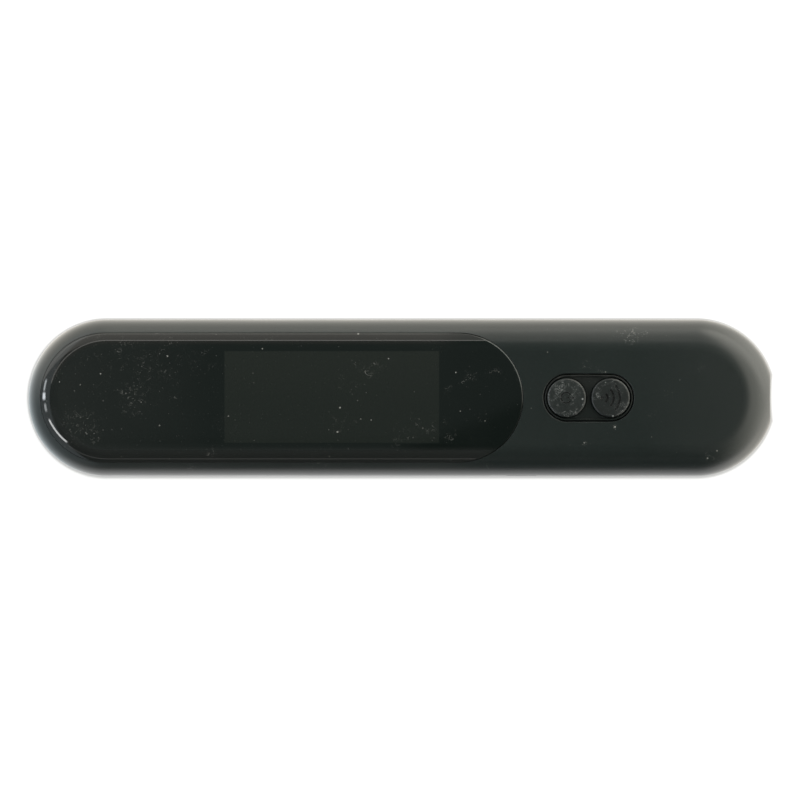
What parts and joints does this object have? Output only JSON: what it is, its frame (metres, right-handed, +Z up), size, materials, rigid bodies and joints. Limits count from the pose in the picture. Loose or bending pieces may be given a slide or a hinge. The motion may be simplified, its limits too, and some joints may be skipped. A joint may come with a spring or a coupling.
{
  "type": "mobile hotspot",
  "caption": "Slim pill-shaped pocket hotspot with a flush display window, a two-pad key cluster, a USB-C port in one end and a SIM tray in the side.",
  "frame": {"origin": "centre of the flat underside: the middle of the body's length and width, at the height the body rests on", "axes": "+X along the body towards the USB-C end, +Y across the body with the SIM tray on the -Y side, +Z up out of the display and key face"},
  "size_m": [0.15, 0.0316, 0.0135],
  "materials": {
    "housing": "fine moulded matte black plastic with a soft sheen",
    "window": "polished dark smoked acrylic with dust and hairline scratches",
    "adhesive": "thin black double-sided foam tape",
    "display": "unlit display glass",
    "foam": "closed-cell foam",
    "flex": "amber polyimide film with copper traces",
    "bezel": "satin black plastic",
    "pad": "soft black rubber, worn and dusty",
    "component": "moulded black epoxy and nylon",
    "switch_metal": "stamped metal",
    "board": "green solder mask over copper",
    "connector": "ivory moulded nylon",
    "shield": "folded tinned steel",
    "thermal": "soft grey-blue gap filler",
    "copper": "bare copper sheet",
    "tray": "black plastic matched to the housing",
    "card": "plain white card plastic",
    "pouch": "satin laminated foil pouch",
    "antenna": "gold-flashed metal",
    "cable": "thin black jacket",
    "screw": "blackened steel"
  },
  "bodies": {
    "body": {"top_housing": "housing", "bottom_housing": "housing", "display_window": "window", "window_adhesive": "adhesive", "display_panel": "display", "display_cushion": "foam", "display_flex": "flex", "key_bezel": "bezel", "switch_bodies": "component", "main_board": "board", "board_connectors": "connector", "board_chips": "component", "modem_module": "board", "modem_shield": "shield", "wifi_shield": "shield", "thermal_pad": "thermal", "heat_spreader": "copper", "usb_c_shell": "shield", "usb_c_tongue": "component", "sim_connector": "shield", "battery_cell": "pouch", "battery_protection_board": "board", "battery_flex": "flex", "battery_pad": "foam", "antenna_carrier": "component", "main_antenna": "antenna", "diversity_antenna": "antenna", "wifi_antenna": "antenna", "antenna_coax": "cable", "screw_inserts": "antenna", "case_screws": "screw", "board_screws": "screw"},
    "power_key": {"power_button": "pad"},
    "wifi_key": {"wifi_button": "pad"},
    "power_plunger": {"power_switch_plunger": "switch_metal"},
    "wifi_plunger": {"wifi_switch_plunger": "switch_metal"},
    "sim_drawer": {"sim_tray": "tray", "nano_sim_card": "card"}
  },
  "joints": [
    {"name": "power_key_press", "type": "slide", "parent": "body", "child": "power_key", "axis": [0, 0, -1], "range_m": [0, 0.0003], "stiffness_N_per_m": 600},
    {"name": "wifi_key_press", "type": "slide", "parent": "body", "child": "wifi_key", "axis": [0, 0, -1], "range_m": [0, 0.0003], "stiffness_N_per_m": 600},
    {"name": "power_plunger_travel", "type": "slide", "parent": "body", "child": "power_plunger", "axis": [0, 0, -1], "range_m": [0, 0.0003]},
    {"name": "wifi_plunger_travel", "type": "slide", "parent": "body", "child": "wifi_plunger", "axis": [0, 0, -1], "range_m": [0, 0.0003]},
    {"name": "sim_tray_eject", "type": "slide", "parent": "body", "child": "sim_drawer", "axis": [0, -1, 0], "range_m": [0, 0.016]}
  ],
  "couplings": [
    {"joint": "power_plunger_travel", "follows": "power_key_press", "ratio": 1},
    {"joint": "wifi_plunger_travel", "follows": "wifi_key_press", "ratio": 1}
  ]
}
